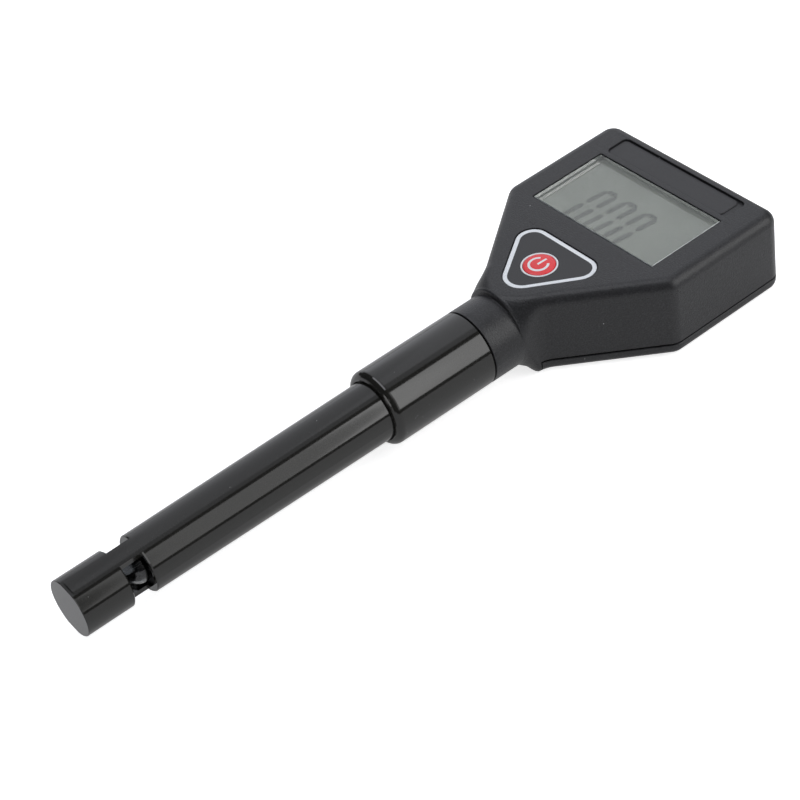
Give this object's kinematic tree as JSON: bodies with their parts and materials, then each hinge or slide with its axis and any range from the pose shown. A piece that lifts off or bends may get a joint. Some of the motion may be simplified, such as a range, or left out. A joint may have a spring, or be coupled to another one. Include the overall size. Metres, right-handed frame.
{
  "type": "pH meter",
  "caption": "Pocket pH meter: wedge-shaped head with a display and one power key, a round neck, a screw collar and a glass electrode in a slotted guard tube.",
  "frame": {"origin": "under the middle of the whole meter, on the plane of the head's back", "axes": "+Z out of the display, +Y from the electrode tip to the far end of the head, +X to the right of the display as it is read"},
  "size_m": [0.06, 0.1964, 0.0234],
  "materials": {
    "shell_black": "fine spark-eroded texture, low sheen",
    "gloss_black": "polished moulded black",
    "inner_black": "plain moulded",
    "seal_rubber": "dull",
    "screw_steel": "zinc plated",
    "contact_nickel": "nickel plated",
    "cell_can": "lacquered can",
    "board_green": "solder mask",
    "chip_black": "moulded package",
    "switch_white": "plain moulded",
    "key_red": "satin red",
    "ring_white": "satin white",
    "plate_charcoal": "smooth film",
    "lens_clear": "clear acrylic, polished edges",
    "display_glass": "grey-green liquid crystal cell",
    "strip_rubber": "conducting layers",
    "trimmer_blue": "moulded case",
    "screw_brass": "turned",
    "pin_brass": "gold flashed",
    "socket_ivory": "plain moulded",
    "lead_red": "insulation",
    "washer_white": "slippery washer",
    "bulb_glass": "thin blown glass",
    "wick_white": "porous",
    "silver_wire": "drawn wire"
  },
  "bodies": {
    "head": {"front_shell": "shell_black", "rear_cover": "shell_black", "cover_gasket": "seal_rubber", "cover_screws": "screw_steel", "battery_tray": "inner_black", "battery_cells": "cell_can", "battery_springs": "contact_nickel", "battery_tabs": "contact_nickel", "circuit_board": "board_green", "board_screws": "screw_steel", "meter_chip": "chip_black", "signal_amplifier": "chip_black", "power_switch": "inner_black", "key_ring": "ring_white", "key_plate": "plate_charcoal", "name_plate": "plate_charcoal", "display_lens": "lens_clear", "lens_gasket": "seal_rubber", "lcd_glass": "display_glass", "lcd_frame": "inner_black", "contact_strips": "strip_rubber", "offset_trimmer": "trimmer_blue", "slope_trimmer": "trimmer_blue", "probe_socket": "socket_ivory", "socket_tails": "contact_nickel", "signal_leads": "lead_red"},
    "key": {"power_key": "key_red", "switch_plunger": "switch_white"},
    "battery_door": {"battery_door": "shell_black"},
    "offset_adjuster": {"offset_screw": "screw_brass"},
    "slope_adjuster": {"slope_screw": "screw_brass"},
    "collar": {"collar_nut": "gloss_black"},
    "electrode": {"collar_washer": "washer_white", "probe_tube": "gloss_black", "end_plug": "gloss_black", "glass_bulb": "bulb_glass", "bulb_seal": "seal_rubber", "reference_wick": "wick_white", "silver_wires": "silver_wire", "probe_head": "inner_black", "probe_oring": "seal_rubber", "end_washer": "seal_rubber", "contact_pins": "pin_brass"}
  },
  "joints": [
    {"name": "key_press", "type": "slide", "parent": "head", "child": "key", "axis": [0, 0, -1], "range_m": [0, 0.0004], "stiffness_N_per_m": 1500, "springref_m": -0.0001},
    {"name": "battery_door_slide", "type": "slide", "parent": "head", "child": "battery_door", "axis": [0, 1, 0], "range_m": [0, 0.045]},
    {"name": "offset_turn", "type": "hinge", "parent": "head", "child": "offset_adjuster", "pos_m": [-0.02, 0.0685, 0.0084], "axis": [0, 0, -1], "range_deg": [-135, 135]},
    {"name": "slope_turn", "type": "hinge", "parent": "head", "child": "slope_adjuster", "pos_m": [0.02, 0.0685, 0.0084], "axis": [0, 0, -1], "range_deg": [-135, 135]},
    {"name": "electrode_draw", "type": "slide", "parent": "head", "child": "electrode", "axis": [0, -1, 0], "range_m": [0, 0.0115]},
    {"name": "collar_turn", "type": "hinge", "parent": "electrode", "child": "collar", "pos_m": [0, 0.0058, 0.01155], "axis": [0, -1, 0], "range_deg": [0, 2070]}
  ],
  "couplings": [
    {"joint": "electrode_draw", "follows": "collar_turn", "m_per_rad": 0.00031831}
  ]
}
